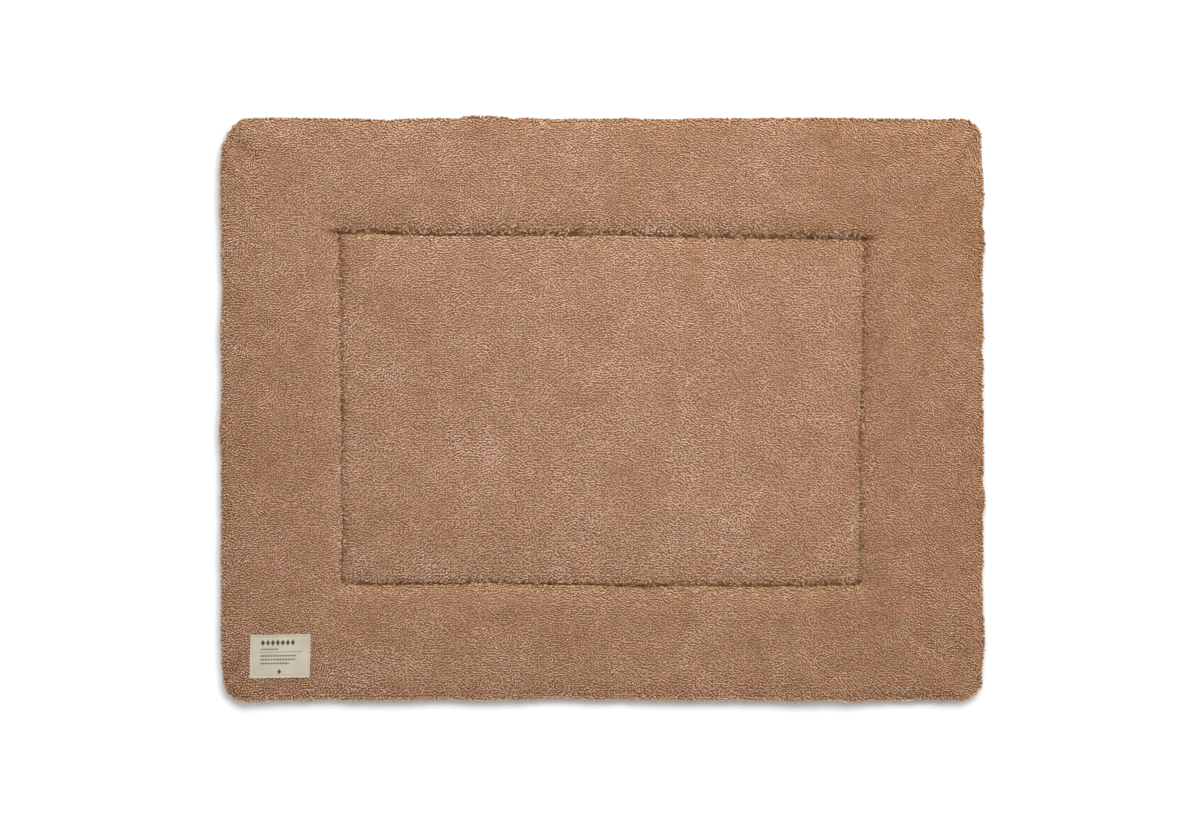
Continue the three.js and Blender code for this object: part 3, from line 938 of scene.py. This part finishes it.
def tape_finish(name, cream, shade_and_soil, ink):
    """Plain-woven cotton tape, a little soiled, with painted shade between its threads and worn print
    that the threads break up.
    """
    material, tree = new_material(name)
    uv = add_node(tree, "ShaderNodeAttribute", attribute_name="UVMap").outputs["Vector"]
    parts = add_node(tree, "ShaderNodeSeparateXYZ", {0: uv})
    u = parts.outputs[0]
    v = parts.outputs[1]
    across = maths(tree, "MULTIPLY", u, LABEL_THREADS[0])
    up = maths(tree, "MULTIPLY", v, LABEL_THREADS[1])
    warp = thread_set(tree, across, up, 0.0)
    weave = maths(tree, "MAXIMUM", warp, thread_set(tree, up, across, 1.0))
    place = own_place(tree)
    soil = maths(tree, "MULTIPLY", grain(tree, place, scale=70, detail=4), 0.8)
    cloth = mixed(tree, maths(tree, "MULTIPLY_ADD", weave, 0.6, soil), shade_and_soil, cream)
    printed = 0.0
    for row in LABEL_PRINT:
        printed = maths(tree, "MAXIMUM", printed, printed_row(tree, u, v, row))
    worn = spread(tree, grain(tree, place, scale=900, detail=2), source=(0.26, 0.42))
    inked = maths(tree, "MULTIPLY", maths(tree, "MULTIPLY", printed, worn), INK_COVER)
    end_material(
        tree,
        mixed(tree, inked, cloth, ink),
        roughness=0.85,
        inputs={"Sheen Weight": 0.1, "Specular IOR Level": 0.2,
                "Normal": bumped(tree, weave, strength=0.5, distance=0.00015)},
    )
    return material


bpy.ops.object.select_all(action="DESELECT")
bpy.ops.mesh.primitive_grid_add(
    x_subdivisions=LABEL_GRID[0], y_subdivisions=LABEL_GRID[1], size=1.0, calc_uvs=True
)
label = bpy.context.object
label.name = "label"
shares = places_of(label.data)
across = shares[:, 0] * LABEL_SIZE[0]
upwards = shares[:, 1] * LABEL_SIZE[1]
across_out = LABEL_SLANT * upwards + cut_edge(shares[:, 0], upwards, END_WAVES)
upwards += cut_edge(shares[:, 1], across, EDGE_WAVES)
across += across_out
spots = LABEL_MIDDLE + label_steps(across, upwards)
move_to(label.data, np.column_stack([spots, label_height(across, upwards)]))
apply_modifier(label, "SOLIDIFY", thickness=LABEL_THICK, offset=-1)
bpy.ops.object.shade_smooth_by_angle(angle=math.radians(50))
dress(label, tape_finish("label_cotton_weave", CREAM, CREAM_SHADE_AND_SOIL, INK))

half_x = LABEL_SIZE[0] / 2 - SEWN_INSET
half_y = LABEL_SIZE[1] / 2 - SEWN_INSET
hem = np.array([(-half_x, -half_y), (half_x, -half_y), (half_x, half_y), (-half_x, half_y),
                (-half_x, -half_y)])
stops, runs = walk(hem, LABEL_STITCH_LENGTH + LABEL_STITCH_GAP)
spots = LABEL_MIDDLE + label_steps(stops[:, 0], stops[:, 1])
ways = label_steps(runs[:, 0], runs[:, 1])
label_stitch = model_stitch("label_stitch", LABEL_STITCH_LENGTH, LABEL_STITCH_WIDTH)
label_thread = sew("label_stitches", label_stitch, spots, ways,
                   label_height(stops[:, 0], stops[:, 1]) + LABEL_STITCH_RAISE, top_of(body, spots)[1])
dress(label_thread, thread_finish("cream_thread", CREAM_THREAD_DARK, CREAM_THREAD_LIGHT))
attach(label, "root")
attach(label_thread, "root")
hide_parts("sewn_label")

# The studio: a floor of white paper, one broad soft light high up beyond the mat's top edge and a
# little to the right, a faint one right above the mat, and pale light from all round.
FLOOR_SIZE = 16
FLOOR_DROP = 0.0004
PAPER_NEAR = (0.795, 0.815, 0.825, 1)
PAPER_FAR = (0.595, 0.608, 0.617, 1)
PAPER_WAY = (0.44, 0.90, 0)
PAPER_REACH = 0.75
KEY_FROM = (0.62, 1.35, 2.2)
KEY_LONG = 2.5
KEY_SHORT = 1.8
KEY_WATTS = 104
KEY_COLOUR = (0.92, 0.962, 1.0)
OVER_FROM = (0, 0.05, 0.9)
OVER_SIDE = 0.5
OVER_WATTS = 1.2
FILL = (1.0, 0.96, 0.93, 1)
FILL_STRENGTH = 0.74


def paper_finish(name, near, far):
    """White paper, toned down towards the light, so that it comes out evenly white in the picture."""
    material, tree = new_material(name)
    to_light = add_node(tree, "ShaderNodeVectorMath", {0: own_place(tree), 1: PAPER_WAY},
                        operation="DOT_PRODUCT").outputs["Value"]
    share = spread(tree, to_light, source=(-PAPER_REACH, PAPER_REACH))
    tone = mixed(tree, share, near, far)
    end_material(tree, tone, roughness=1.0, inputs={"Specular IOR Level": 0.0})
    return material


bpy.ops.object.select_all(action="DESELECT")
bpy.ops.mesh.primitive_plane_add(size=FLOOR_SIZE, location=(0, 0, -FLOOR_DROP))
floor = bpy.context.object
floor.name = "studio_floor"
dress(floor, paper_finish("studio_paper", PAPER_NEAR, PAPER_FAR))
bpy.ops.object.light_add(type="AREA", location=KEY_FROM)
key = bpy.context.object
key.data.shape = "RECTANGLE"
key.data.size = KEY_LONG
key.data.size_y = KEY_SHORT
key.data.energy = KEY_WATTS
key.data.color = KEY_COLOUR
key.rotation_euler = Vector(KEY_FROM).to_track_quat("Z", "Y").to_euler()
bpy.ops.object.light_add(type="AREA", location=OVER_FROM)
over = bpy.context.object
over.data.size = OVER_SIDE
over.data.energy = OVER_WATTS
over.visible_camera = False
world = bpy.data.worlds.new("studio_air")
bpy.context.scene.world = world
world.use_nodes = True
world.node_tree.nodes["Background"].inputs["Color"].default_value = FILL
world.node_tree.nodes["Background"].inputs["Strength"].default_value = FILL_STRENGTH
bpy.context.scene.view_settings.view_transform = "Standard"
